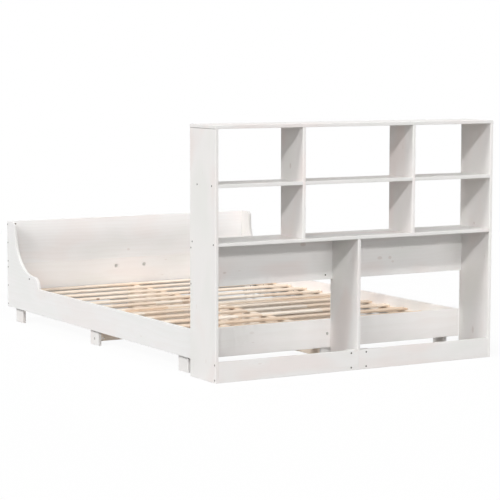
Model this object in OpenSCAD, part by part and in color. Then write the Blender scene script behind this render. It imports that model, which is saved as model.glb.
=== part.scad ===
// Double bed frame in white painted pine, with an open bookcase across one end
// X runs across the bed, Y along it from the bookcase to the winged end, Z up
// The origin is on the floor, under the middle of the whole bed

/* [Mattress] */
// Width of the mattress that the frame holds
mattress_w = 1400; // [900:10:1800]
// Length of the mattress that the frame holds
mattress_l = 2000; // [1900:10:2200]
// Room left across the frame, in all
side_play = 5; // [2:1:40]
// Room left along the frame, in all
end_play = 15; // [2:1:60]

/* [Boards] */
// Thickness of every painted board
board_t = 15; // [14:0.5:22]
// Rounding of the boards' long edges
edge_r = 1.5; // [0.5:0.1:2.5]

/* [Bookcase] */
// Height of the bookcase
bookcase_h = 1100; // [1000:10:1300]
// Depth of the side panels, the low shelf and the top board
bookcase_d = 225; // [190:5:320]
// Depth of the upper dividers and the middle shelf
cubby_d = 185; // [130:5:185]
// Floor to the low shelf's upper face
low_shelf_top = 600; // [560:5:680]
// Clear width of the middle column of cubbies
middle_bay_w = 565; // [300:5:700]
// Height of the kick-boards
kick_h = 90; // [60:5:110]
// Height of the back boards under the low shelf
back_board_h = 198; // [120:2:210]
// Width of the plates behind the board joints
plate_w = 116; // [110:2:180]

/* [Bed sides] */
// Height of the side rails and the near end rail
rail_h = 130; // [120:2:150]
// Floor to the underside of the rails
rail_z = 72; // [60:2:90]
// Height of each of the two boards of the winged end
end_board_h = 226; // [210:2:260]
// Length of the flat top of each wing, its rounded corner included
wing_top_l = 98; // [60:2:200]
// Straight height at the top of each wing, its rounded corner included
wing_shoulder_h = 44; // [30:1:60]
// Radius of the wing's top corner
wing_corner_r = 20; // [5:1:30]
// Radius of the nose where the wing meets the rail
wing_nose_r = 58; // [30:1:70]
// Flat length between the nose and the hollow curve
wing_ledge_l = 18; // [5:1:60]

/* [Slats] */
// Number of slats
slat_count = 13; // [10:1:14]
// Width of a slat
slat_w = 52; // [40:1:80]
// Thickness of a slat
slat_t = 10; // [8:0.5:18]
// Rail top to the slats' upper face
slat_drop = 42; // [30:1:50]
// Gap between a slat's end and the side rail
slat_end_gap = 3; // [1:0.5:4]
// Gap between the near end rail and the first slat
near_slat_gap = 68; // [40:1:100]
// Gap between the last slat and the winged end
far_slat_gap = 22; // [5:1:60]
// Rounding of the slats' long edges
slat_r = 3; // [1:0.5:3.5]
// Height of the ledger strips under the slat ends
ledger_h = 28; // [22:1:36]
// Width of the ledger strips
ledger_w = 22; // [18:1:26]

/* [Beams and legs] */
// Thickness of the two crossing beams
beam_t = 30; // [22:1:40]
// Height of the two crossing beams
beam_h = 132; // [110:1:134]
// Width of the flat legs
leg_w = 90; // [70:2:120]
// Distance from an end rail to the corner legs
leg_inset = 60; // [30:5:120]
// Height of the centre leg behind the near end rail
near_leg_h = 160; // [150:2:190]
// Width of the centre leg behind the winged end
far_leg_w = 226; // [200:2:260]
// Height of the centre leg behind the winged end
far_leg_h = 290; // [275:5:340]

/* [Screws and dowels] */
// Head diameter of the countersunk screws
screw_head_d = 8; // [6:0.5:9]
// Shank diameter of the countersunk screws
screw_d = 4; // [3:0.5:5]
// Length of the screws that go into a board's end
long_screw_l = 45; // [35:1:60]
// Length of the screws that go into a board's face
short_screw_l = 25; // [20:1:27]
// Length of the screws through the ledger strips and the slats
ledger_screw_l = 32; // [28:1:36]
// Inset of the kick-board screws from the boards' long edges
kick_screw_inset = 12.5; // [10:0.5:16]
// Inset of the back board screws from the boards' long edges
back_screw_inset = 20; // [15:0.5:26]
// Inset of the rail and end board screws from the boards' long edges
rail_screw_inset = 16; // [12:0.5:24]
// Inset of the low shelf and top board screws from the boards' long edges
shelf_screw_inset = 19; // [14:0.5:30]
// Front edge to the first screw of the middle shelf
middle_screw_front = 33; // [20:1:45]
// Back edge to the second screw of the middle shelf
middle_screw_back = 24; // [20:1:45]
// Distance across the joint between the kick-boards' screws
kick_screw_gap = 80; // [60:1:90]
// Distance across the joint between the back boards' screws
back_screw_gap = 89; // [60:1:95]
// Diameter of the dowels over the centre divider
dowel_d = 8; // [6:0.5:10]
// Length of the dowels over the centre divider
dowel_l = 30; // [24:1:40]

/* [Bolts] */
// Head diameter of the joint bolts
bolt_head_d = 14; // [12:0.5:16]
// Shank diameter of the joint bolts
bolt_d = 6; // [5:0.5:7]
// Diameter of the barrel nuts in the cross beam
barrel_d = 10; // [9:0.5:12]
// Distance from the cross beam's ends to its barrel nuts
barrel_inset = 25; // [18:1:40]
// Distance between the two bolts in the near end rail
near_bolt_gap = 47; // [40:1:60]
// Floor to the bolts in the near end rail
near_bolt_z = 136; // [110:2:140]
// Distance between the two bolts in the winged end
far_bolt_gap = 170; // [120:5:175]
// Floor to the bolts in the winged end
far_bolt_z = 254; // [200:2:260]
// Width of the round recesses in the winged end
recess_d = 22; // [18:1:26]

/* [Hidden] */
// Facets round a rounded edge or a hole, round the wings' large curves, and round a hexagon
$fn = 32;
wing_fn = 180;
hex_fn = 6;

slat_names = [for (i = [1 : slat_count]) str("slat_", i < 10 ? "0" : "", i)];

paint = "whitesmoke";
pine = "burlywood";
steel = "dimgray";

// Clearance round a fastener in its hole, and in the slots of the half-laps
fit = 0.1;
// How far a cut runs past the face that it opens
cut = 1;

// Screws: the countersunk head, and its cross recess as shares of the head
screw_head_h = (screw_head_d - screw_d) / 2;
cross_w = 0.6 * screw_head_d;
cross_t = 0.125 * screw_head_d;
cross_depth = 0.8 * screw_head_h;

// Dowels: how far they reach up into the low shelf, and their inset from its edges
dowel_up = 10;
dowel_inset = 45;

// Bolts: the head, its depth in a recess, and what a leg bolt's end stays short of its nut's face
bolt_head_h = 3;
bolt_sink = 1;
bolt_end_gap = 0.5;
socket_d = 4.6;
socket_depth = 2;

// Nuts, and what a barrel nut's ends stay short of the cross beam's faces
nut_d = 11.5;
nut_h = 5;
barrel_sink = 1;

// Places across the bed: inner and outer face of the rails, outer face of the bookcase
inner_x = (mattress_w + side_play) / 2;
rail_x = inner_x + board_t;
outer_x = rail_x + board_t;
divider_x = (middle_bay_w + board_t) / 2;
leg_x = inner_x - board_t;

// Places along the bed: the bookcase, then the space for the mattress, then the winged end
inner_l = mattress_l + end_play;
total_l = bookcase_d + inner_l + 3 * board_t;
front_y = -total_l / 2;
back_y = front_y + bookcase_d;
near_y = back_y + board_t;
far_y = near_y + inner_l;
end_y = far_y + board_t;
middle_y = (near_y + far_y) / 2;
leg_y = [near_y + leg_inset, middle_y - leg_w / 2, far_y - leg_inset - leg_w];

// Heights
rail_top = rail_z + rail_h;
end_top = rail_z + 2 * end_board_h;
slat_top = rail_top - slat_drop;
ledger_top = slat_top - slat_t;
ledger_z = ledger_top - ledger_h;
beam_z = ledger_top - beam_h;
lap_z = beam_z + beam_h / 2;
panel_h = bookcase_h - board_t;
low_shelf_z = low_shelf_top - board_t;
middle_shelf_z = (panel_h + low_shelf_top - board_t) / 2;
back_board_z = low_shelf_z - back_board_h;
link_inset = 22;
beam_bolt_rise = 12.5;
beam_bolt_drop = 20;
beam_bolt_z = [beam_z + beam_bolt_rise, ledger_z - beam_bolt_drop];
leg_screw_inset = 12;
leg_screw_side = 20;

// Slats lie at even steps between the two end gaps
slat_pitch = (inner_l - near_slat_gap - far_slat_gap - slat_w) / (slat_count - 1);
function slat_y(i) = near_y + near_slat_gap + i * slat_pitch;

// The wing's outline along the bed
wing_face_y = end_y - wing_top_l;
wing_shoulder_z = end_top - wing_shoulder_h;
wing_ledge_z = rail_top + wing_nose_r;
wing_cove_r = wing_shoulder_z - wing_ledge_z;
wing_cove_y = wing_face_y - wing_cove_r;
wing_nose_y = wing_cove_y - wing_ledge_l;

// Boards from their low corner, with the four long edges rounded

module rounded_rect(w, h, r) {
  translate([r, 0]) square([w - 2 * r, h]);
  translate([0, r]) square([w, h - 2 * r]);
  for (x = [r, w - r]) {
    for (y = [r, h - r]) {
      translate([x, y]) circle(r);
    }
  }
}

module board_along_x(at, size, r = edge_r) {
  translate(at) rotate([90, 0, 90]) linear_extrude(size[0]) rounded_rect(size[1], size[2], r);
}

module board_along_y(at, size, r = edge_r) {
  translate(at + [0, size[1], 0])
    rotate([90, 0, 0])
    linear_extrude(size[1])
    rounded_rect(size[0], size[2], r);
}

module board_upright(at, size, r = edge_r) {
  translate(at) linear_extrude(size[2]) rounded_rect(size[0], size[1], r);
}

module both_sides() {
  children();
  mirror([1, 0, 0]) children();
}

// A fastener's head lies at the origin, looks along +Z, and is turned to the face that holds it

module facing_right(at) {
  translate(at) rotate([0, 90, 0]) children();
}

module facing_left(at) {
  translate(at) rotate([0, -90, 0]) children();
}

module facing_front(at) {
  translate(at) rotate([90, 0, 0]) children();
}

module facing_back(at) {
  translate(at) rotate([-90, 0, 0]) children();
}

module facing_up(at) {
  translate(at) children();
}

module facing_down(at) {
  translate(at) rotate([180, 0, 0]) children();
}

// Screws, bolts, nuts and dowels with their holes

module screw(l) {
  color(steel)
    difference() {
      union() {
        translate([0, 0, -screw_head_h]) cylinder(h = screw_head_h, d1 = screw_d, d2 = screw_head_d);
        translate([0, 0, -l]) cylinder(h = l - screw_head_h, d = screw_d);
      }
      translate([-cross_w / 2, -cross_t / 2, -cross_depth]) cube([cross_w, cross_t, cross_depth + cut]);
      translate([-cross_t / 2, -cross_w / 2, -cross_depth]) cube([cross_t, cross_w, cross_depth + cut]);
    }
}

module screw_hole(l) {
  hole_d = screw_d + 2 * fit;
  sink_d = screw_head_d + 2 * fit;
  translate([0, 0, -screw_head_h]) cylinder(h = screw_head_h, d1 = hole_d, d2 = sink_d);
  translate([0, 0, -fit]) cylinder(h = fit + cut, d = sink_d);
  translate([0, 0, -l - fit]) cylinder(h = l, d = hole_d);
}

module bolt_shank_hole(l) {
  translate([0, 0, -l]) cylinder(h = l, d = bolt_d + 2 * fit);
}

module bolt(l) {
  color(steel)
    difference() {
      union() {
        translate([0, 0, -bolt_head_h]) cylinder(h = bolt_head_h, d = bolt_head_d);
        translate([0, 0, -l]) cylinder(h = l - bolt_head_h, d = bolt_d);
      }
      translate([0, 0, -socket_depth]) cylinder(h = socket_depth + cut, d = socket_d, $fn = hex_fn);
    }
}

module bolt_hole(l) {
  translate([0, 0, -bolt_head_h]) cylinder(h = bolt_head_h + cut, d = bolt_head_d + 2 * fit);
  bolt_shank_hole(l);
}

module sunk_bolt_hole(l) {
  translate([0, 0, -bolt_head_h - bolt_sink]) cylinder(h = bolt_head_h + bolt_sink + cut, d = recess_d);
  bolt_shank_hole(l);
}

module nut() {
  color(steel)
    translate([0, 0, -nut_h])
    difference() {
      cylinder(h = nut_h, d = nut_d, $fn = hex_fn);
      translate([0, 0, -cut]) cylinder(h = nut_h + 2 * cut, d = bolt_d + 2 * fit);
    }
}

module nut_hole() {
  translate([0, 0, -nut_h]) cylinder(h = nut_h + cut, d = nut_d + 2 * fit, $fn = hex_fn);
}

// A barrel nut lies across its bolt, at its depth under the bolt's head
module barrel_nut() {
  color(steel)
    difference() {
      translate([0, 0, -board_t - barrel_inset])
        rotate([90, 0, 0])
        cylinder(h = beam_t - 2 * barrel_sink, d = barrel_d, center = true);
      bolt_shank_hole(beam_bolt_l + cut);
    }
}

module barrel_hole() {
  translate([0, 0, -board_t - barrel_inset])
    rotate([90, 0, 0])
    cylinder(h = beam_t + 2 * cut, d = barrel_d + 2 * fit, center = true);
}

module dowel() {
  color(pine) translate([0, 0, dowel_up - dowel_l]) cylinder(h = dowel_l, d = dowel_d);
}

module dowel_hole() {
  translate([0, 0, dowel_up - dowel_l - fit]) cylinder(h = dowel_l + 2 * fit, d = dowel_d + 2 * fit);
}

// Lengths of the bolts
beam_bolt_l = board_t + barrel_inset + barrel_d / 2;
near_bolt_l = 2 * board_t - bolt_end_gap;
far_bolt_l = near_bolt_l - bolt_sink;

// Places of the bookcase's fasteners

module middle_shelf_ends() {
  both_sides()
    for (y = [middle_screw_front, cubby_d - middle_screw_back]) {
      facing_right([outer_x, front_y + y, middle_shelf_z + board_t / 2]) children();
    }
}

module low_shelf_ends() {
  both_sides()
    for (y = [shelf_screw_inset, bookcase_d - shelf_screw_inset]) {
      facing_right([outer_x, front_y + y, low_shelf_z + board_t / 2]) children();
    }
}

module back_board_ends() {
  both_sides()
    for (z = [back_screw_inset, back_board_h - back_screw_inset]) {
      facing_right([outer_x, back_y - board_t / 2, back_board_z + z]) children();
    }
}

module kick_board_ends() {
  both_sides()
    for (z = [kick_screw_inset, kick_h - kick_screw_inset]) {
      facing_right([outer_x, front_y + board_t / 2, z]) children();
    }
}

module side_panel_places() {
  middle_shelf_ends() children();
  low_shelf_ends() children();
  back_board_ends() children();
  kick_board_ends() children();
}

module panel_tops() {
  both_sides()
    for (y = [shelf_screw_inset, bookcase_d - shelf_screw_inset]) {
      facing_up([outer_x - board_t / 2, front_y + y, bookcase_h]) children();
    }
}

module divider_tops() {
  both_sides()
    for (y = [middle_screw_front, cubby_d - middle_screw_back]) {
      facing_up([divider_x, front_y + y, bookcase_h]) children();
    }
}

module divider_feet() {
  both_sides()
    for (y = [middle_screw_front, cubby_d - middle_screw_back]) {
      facing_down([divider_x, front_y + y, low_shelf_z]) children();
    }
}

module dowel_places() {
  for (y = [dowel_inset, bookcase_d - dowel_inset]) {
    facing_up([0, front_y + y, low_shelf_z]) children();
  }
}

module kick_plate_places() {
  both_sides()
    for (z = [kick_screw_inset, kick_h - kick_screw_inset]) {
      facing_front([kick_screw_gap / 2, front_y, z]) children();
    }
}

module back_plate_places() {
  both_sides()
    for (z = [back_screw_inset, back_board_h - back_screw_inset]) {
      facing_front([back_screw_gap / 2, back_y - board_t, back_board_z + z]) children();
    }
}

// Places of the bed's fasteners

module near_rail_ends() {
  both_sides()
    for (z = [rail_z + rail_screw_inset, rail_top - rail_screw_inset]) {
      facing_right([rail_x, back_y + board_t / 2, z]) children();
    }
}

module bookcase_links() {
  for (z = [rail_z + link_inset, rail_top - link_inset]) {
    facing_back([0, near_y, z]) children();
  }
}

module end_board_ends(rise) {
  both_sides()
    for (z = [rail_screw_inset, end_board_h / 2, end_board_h - rail_screw_inset]) {
      facing_right([rail_x, far_y + board_t / 2, rail_z + rise + z]) children();
    }
}

module leg_places() {
  both_sides()
    for (leg = leg_y) {
      for (y = [leg_screw_side, leg_w - leg_screw_side]) {
        for (z = [rail_z + leg_screw_inset, ledger_z - leg_screw_inset]) {
          facing_left([leg_x, leg + y, z]) children();
        }
      }
    }
}

module ledger_places() {
  both_sides()
    for (i = [0 : 2 : slat_count - 2]) {
      y = slat_y(i) + (slat_w + slat_pitch) / 2;
      facing_left([inner_x - ledger_w, y, ledger_z + ledger_h / 2]) children();
    }
}

module slat_ends(i) {
  both_sides()
    facing_up([inner_x - ledger_w / 2, slat_y(i) + slat_w / 2, slat_top]) children();
}

module all_slat_ends() {
  for (i = [0 : slat_count - 1]) {
    slat_ends(i) children();
  }
}

module centre_beam_near() {
  for (z = [beam_z + rail_screw_inset, ledger_top - rail_screw_inset]) {
    facing_front([0, near_y, z]) children();
  }
}

module centre_beam_far() {
  for (z = [rail_z + rail_screw_inset, ledger_top - rail_screw_inset]) {
    facing_back([0, end_y, z]) children();
  }
}

module cross_beam_ends() {
  both_sides()
    for (z = beam_bolt_z) {
      facing_right([inner_x, middle_y, z]) children();
    }
}

module near_bolt_places() {
  both_sides() facing_front([near_bolt_gap / 2, back_y, near_bolt_z]) children();
}

module far_bolt_places() {
  both_sides() facing_front([far_bolt_gap / 2, far_y, far_bolt_z]) children();
}

module near_nut_places() {
  both_sides() facing_back([near_bolt_gap / 2, near_y + board_t, near_bolt_z]) children();
}

module far_nut_places() {
  both_sides() facing_back([far_bolt_gap / 2, end_y + board_t, far_bolt_z]) children();
}

// Bookcase

module side_panel() {
  color(paint)
    difference() {
      board_upright([rail_x, front_y, 0], [board_t, bookcase_d, panel_h]);
      side_panel_places() screw_hole(long_screw_l);
      panel_tops() screw_hole(long_screw_l);
    }
}

module top_board() {
  color(paint)
    difference() {
      board_along_x([-outer_x, front_y, panel_h], [2 * outer_x, bookcase_d, board_t]);
      panel_tops() screw_hole(long_screw_l);
      divider_tops() screw_hole(long_screw_l);
    }
}

module low_shelf() {
  color(paint)
    difference() {
      board_along_x([-rail_x, front_y, low_shelf_z], [2 * rail_x, bookcase_d, board_t]);
      low_shelf_ends() screw_hole(long_screw_l);
      divider_feet() screw_hole(long_screw_l);
      dowel_places() dowel_hole();
    }
}

// The middle shelf is slotted from the front, halfway through, and the dividers from behind
module middle_shelf() {
  color(paint)
    difference() {
      board_along_x([-rail_x, front_y, middle_shelf_z], [2 * rail_x, cubby_d, board_t]);
      both_sides()
        translate([divider_x - board_t / 2 - fit, front_y - cut, middle_shelf_z - cut])
        cube([board_t + 2 * fit, cubby_d / 2 + fit + cut, board_t + 2 * cut]);
      middle_shelf_ends() screw_hole(long_screw_l);
    }
}

module divider() {
  color(paint)
    difference() {
      board_upright(
        [divider_x - board_t / 2, front_y, low_shelf_top],
        [board_t, cubby_d, panel_h - low_shelf_top]
      );
      translate([divider_x - board_t / 2 - cut, front_y + cubby_d / 2 - fit, middle_shelf_z - fit])
        cube([board_t + 2 * cut, cubby_d / 2 + fit + cut, board_t + 2 * fit]);
      divider_tops() screw_hole(long_screw_l);
      divider_feet() screw_hole(long_screw_l);
    }
}

// The centre divider is notched over the kick-boards and the plate behind them
module centre_divider() {
  color(paint)
    difference() {
      board_upright([-board_t / 2, front_y, 0], [board_t, bookcase_d, low_shelf_z]);
      translate([-board_t / 2 - cut, front_y - cut, -cut])
        cube([board_t + 2 * cut, 2 * board_t + cut, kick_h + cut]);
      dowel_places() dowel_hole();
      bookcase_links() screw_hole(long_screw_l);
    }
}

module back_board() {
  color(paint)
    difference() {
      board_along_x(
        [board_t / 2, back_y - board_t, back_board_z],
        [rail_x - board_t / 2, board_t, back_board_h]
      );
      back_board_ends() screw_hole(long_screw_l);
      back_plate_places() screw_hole(short_screw_l);
    }
}

module back_board_plate() {
  color(paint)
    difference() {
      board_upright([-plate_w / 2, back_y, back_board_z], [plate_w, board_t, back_board_h]);
      back_plate_places() screw_hole(short_screw_l);
    }
}

module kick_board() {
  color(paint)
    difference() {
      board_along_x([0, front_y, 0], [rail_x, board_t, kick_h]);
      kick_board_ends() screw_hole(long_screw_l);
      kick_plate_places() screw_hole(short_screw_l);
    }
}

module kick_board_plate() {
  color(paint)
    difference() {
      board_upright([-plate_w / 2, front_y + board_t, 0], [plate_w, board_t, kick_h]);
      kick_plate_places() screw_hole(short_screw_l);
    }
}

// Bed sides and ends

// Each side rail sweeps up at its far end into a wing, by a nose, a ledge and a hollow curve
module rail_outline() {
  translate([back_y, rail_z]) square([end_y - back_y, rail_h]);
  translate([wing_nose_y, rail_top]) circle(wing_nose_r, $fn = wing_fn);
  translate([wing_nose_y, rail_top - cut]) square([end_y - wing_nose_y, wing_nose_r + cut]);
  difference() {
    translate([wing_cove_y, wing_ledge_z - cut])
      square([end_y - wing_cove_y, end_top - wing_ledge_z + cut]);
    translate([wing_cove_y, wing_shoulder_z]) circle(wing_cove_r, $fn = wing_fn);
    translate([wing_cove_y - cut, wing_shoulder_z]) square([wing_cove_r + cut, wing_shoulder_h + cut]);
    wing_corner_cut();
  }
}

module wing_corner_cut() {
  translate([wing_face_y, end_top - wing_corner_r])
    difference() {
      translate([-cut, 0]) square([wing_corner_r + cut, wing_corner_r + cut]);
      translate([wing_corner_r, 0]) circle(wing_corner_r, $fn = wing_fn);
    }
}

module side_rail() {
  color(paint)
    difference() {
      translate([inner_x, 0, 0]) rotate([90, 0, 90]) linear_extrude(board_t) rail_outline();
      near_rail_ends() screw_hole(long_screw_l);
      end_board_ends(0) screw_hole(long_screw_l);
      end_board_ends(end_board_h) screw_hole(long_screw_l);
      leg_places() screw_hole(short_screw_l);
      ledger_places() screw_hole(ledger_screw_l);
    }
}

module near_end_rail() {
  color(paint)
    difference() {
      board_along_x([-inner_x, back_y, rail_z], [2 * inner_x, board_t, rail_h]);
      near_rail_ends() screw_hole(long_screw_l);
      bookcase_links() screw_hole(long_screw_l);
      near_bolt_places() bolt_hole(near_bolt_l);
    }
}

module end_board(rise) {
  color(paint)
    difference() {
      board_along_x([-inner_x, far_y, rail_z + rise], [2 * inner_x, board_t, end_board_h]);
      end_board_ends(rise) screw_hole(long_screw_l);
      centre_beam_far() screw_hole(long_screw_l);
      far_bolt_places() sunk_bolt_hole(near_bolt_l);
    }
}

// Legs

module leg(y) {
  color(paint)
    difference() {
      board_upright([leg_x, y, 0], [board_t, leg_w, ledger_z]);
      leg_places() screw_hole(short_screw_l);
      cross_beam_ends() bolt_hole(beam_bolt_l);
    }
}

module leg_near_centre() {
  color(paint)
    difference() {
      board_upright([-leg_w / 2, near_y, 0], [leg_w, board_t, near_leg_h]);
      centre_beam_near() screw_hole(long_screw_l);
      near_bolt_places() bolt_hole(near_bolt_l);
      near_nut_places() nut_hole();
    }
}

module leg_far_centre() {
  color(paint)
    difference() {
      board_upright([-far_leg_w / 2, end_y, 0], [far_leg_w, board_t, far_leg_h]);
      far_bolt_places() sunk_bolt_hole(near_bolt_l);
      far_nut_places() nut_hole();
    }
}

// Beams, ledgers and slats

// The centre beam is slotted from below and the cross beam from above, each to half its height
module centre_beam() {
  color(pine)
    difference() {
      board_along_y([-beam_t / 2, near_y + board_t, beam_z], [beam_t, inner_l - board_t, beam_h]);
      translate([-beam_t / 2 - cut, middle_y - beam_t / 2, beam_z - cut])
        cube([beam_t + 2 * cut, beam_t, beam_h / 2 + cut]);
      centre_beam_near() screw_hole(long_screw_l);
      centre_beam_far() screw_hole(long_screw_l);
    }
}

module cross_beam() {
  color(pine)
    difference() {
      board_along_x([-leg_x, middle_y - beam_t / 2, beam_z], [2 * leg_x, beam_t, beam_h]);
      translate([-beam_t / 2, middle_y - beam_t / 2 - cut, lap_z])
        cube([beam_t, beam_t + 2 * cut, beam_h / 2 + cut]);
      both_sides()
        translate([inner_x - ledger_w, middle_y - beam_t / 2 - cut, ledger_z])
        cube([ledger_w, beam_t + 2 * cut, ledger_h + cut]);
      cross_beam_ends() bolt_hole(beam_bolt_l);
      cross_beam_ends() barrel_hole();
    }
}

module ledger() {
  color(pine)
    difference() {
      board_along_y([inner_x - ledger_w, near_y, ledger_z], [ledger_w, inner_l, ledger_h]);
      ledger_places() screw_hole(ledger_screw_l);
      all_slat_ends() screw_hole(ledger_screw_l);
    }
}

module slat(i) {
  slat_x = inner_x - slat_end_gap;
  color(pine)
    difference() {
      board_along_x([-slat_x, slat_y(i), ledger_top], [2 * slat_x, slat_w, slat_t], slat_r);
      slat_ends(i) screw_hole(ledger_screw_l);
    }
}

// Fasteners

module side_panel_screws() {
  side_panel_places() screw(long_screw_l);
}

module top_board_screws() {
  panel_tops() screw(long_screw_l);
  divider_tops() screw(long_screw_l);
}

module low_shelf_screws() {
  divider_feet() screw(long_screw_l);
}

module divider_dowels() {
  dowel_places() dowel();
}

module plate_screws() {
  kick_plate_places() screw(short_screw_l);
  back_plate_places() screw(short_screw_l);
}

module near_rail_screws() {
  near_rail_ends() screw(long_screw_l);
  bookcase_links() screw(long_screw_l);
}

module end_board_screws() {
  end_board_ends(0) screw(long_screw_l);
  end_board_ends(end_board_h) screw(long_screw_l);
}

module leg_screws() {
  leg_places() screw(short_screw_l);
}

module ledger_screws() {
  ledger_places() screw(ledger_screw_l);
}

module slat_screws() {
  all_slat_ends() screw(ledger_screw_l);
}

module centre_beam_screws() {
  centre_beam_near() screw(long_screw_l);
  centre_beam_far() screw(long_screw_l);
}

module beam_bolts() {
  cross_beam_ends() bolt(beam_bolt_l);
}

module barrel_nuts() {
  cross_beam_ends() barrel_nut();
}

module leg_bolts() {
  near_bolt_places() bolt(near_bolt_l);
  far_bolt_places() translate([0, 0, -bolt_sink]) bolt(far_bolt_l);
}

module leg_nuts() {
  near_nut_places() nut();
  far_nut_places() nut();
}

module on_left() {
  mirror([1, 0, 0]) children();
}

on_left() side_panel();  // side_panel_left
side_panel();  // side_panel_right
top_board();
low_shelf();
middle_shelf();
on_left() divider();  // divider_left
divider();  // divider_right
centre_divider();
on_left() back_board();  // back_board_left
back_board();  // back_board_right
back_board_plate();
on_left() kick_board();  // kick_board_left
kick_board();  // kick_board_right
kick_board_plate();
on_left() side_rail();  // side_rail_left
side_rail();  // side_rail_right
near_end_rail();
end_board(0);  // end_board_lower
end_board(end_board_h);  // end_board_upper
on_left() leg(leg_y[0]);  // leg_near_left
leg(leg_y[0]);  // leg_near_right
on_left() leg(leg_y[1]);  // leg_middle_left
leg(leg_y[1]);  // leg_middle_right
on_left() leg(leg_y[2]);  // leg_far_left
leg(leg_y[2]);  // leg_far_right
leg_near_centre();
leg_far_centre();
centre_beam();
cross_beam();
on_left() ledger();  // ledger_left
ledger();  // ledger_right
for (i = [0 : slat_count - 1]) {
  slat(i);
}
side_panel_screws();
top_board_screws();
low_shelf_screws();
divider_dowels();
plate_screws();
near_rail_screws();
end_board_screws();
leg_screws();
ledger_screws();
slat_screws();
centre_beam_screws();
beam_bolts();
barrel_nuts();
leg_bolts();
leg_nuts();
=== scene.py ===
"""Double bed frame with an open bookcase: the camera, the studio light and the finish of every piece."""
import logging
import math
import random
from dataclasses import dataclass, field
from enum import Enum

import bmesh
import bpy
from mathutils import Euler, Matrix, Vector


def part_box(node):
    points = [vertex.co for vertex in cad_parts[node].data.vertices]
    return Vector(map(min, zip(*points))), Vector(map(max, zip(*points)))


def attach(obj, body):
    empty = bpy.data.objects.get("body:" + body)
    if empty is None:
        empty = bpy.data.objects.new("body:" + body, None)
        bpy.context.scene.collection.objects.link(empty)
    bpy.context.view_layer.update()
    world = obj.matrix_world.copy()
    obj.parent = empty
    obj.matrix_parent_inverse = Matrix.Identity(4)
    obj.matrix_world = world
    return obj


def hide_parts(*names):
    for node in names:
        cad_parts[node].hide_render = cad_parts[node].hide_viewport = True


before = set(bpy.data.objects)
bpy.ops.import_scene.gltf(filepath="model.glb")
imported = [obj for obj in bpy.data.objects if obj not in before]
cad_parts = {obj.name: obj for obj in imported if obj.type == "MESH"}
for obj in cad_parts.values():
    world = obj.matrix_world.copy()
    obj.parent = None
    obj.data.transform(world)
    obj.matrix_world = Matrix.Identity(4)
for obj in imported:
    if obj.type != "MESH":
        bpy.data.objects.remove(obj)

LOG = logging.getLogger("bed_frame")

Colour = tuple[float, float, float, float]
Place = tuple[float, float, float]
Joints = tuple[tuple[float, float], ...]

WHITE: Colour = (1.0, 1.0, 1.0, 1.0)

# A Mix node repeats its sockets for numbers, vectors and colours. These are the share and the two colours.
MIX_INPUTS = (0, 6, 7)
MIX_RESULT = 2


def display_colour(red: int, green: int, blue: int) -> Colour:
    """Turns a colour as an sRGB screen shows it into the linear values that a shader takes.

    Args:
        red: Red from 0 to 255.
        green: Green from 0 to 255.
        blue: Blue from 0 to 255.

    Returns:
        Linear red, green and blue, with an alpha of 1.
    """
    def linear(level: int) -> float:
        """Returns one channel's linear value, by the sRGB curve."""
        share = level / 255
        return share / 12.92 if share <= 0.04045 else ((share + 0.055) / 1.055) ** 2.4

    return (linear(red), linear(green), linear(blue), 1.0)


class Lie(Enum):
    """Which object axes run along the grain, across the width and through the thickness of a board."""

    UPRIGHT_FACING_SIDE = ("Z", "Y", "X")
    UPRIGHT_FACING_END = ("Z", "X", "Y")
    FLAT_ACROSS = ("X", "Y", "Z")
    ON_EDGE_ACROSS = ("X", "Z", "Y")
    ON_EDGE_ALONG = ("Y", "Z", "X")


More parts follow.
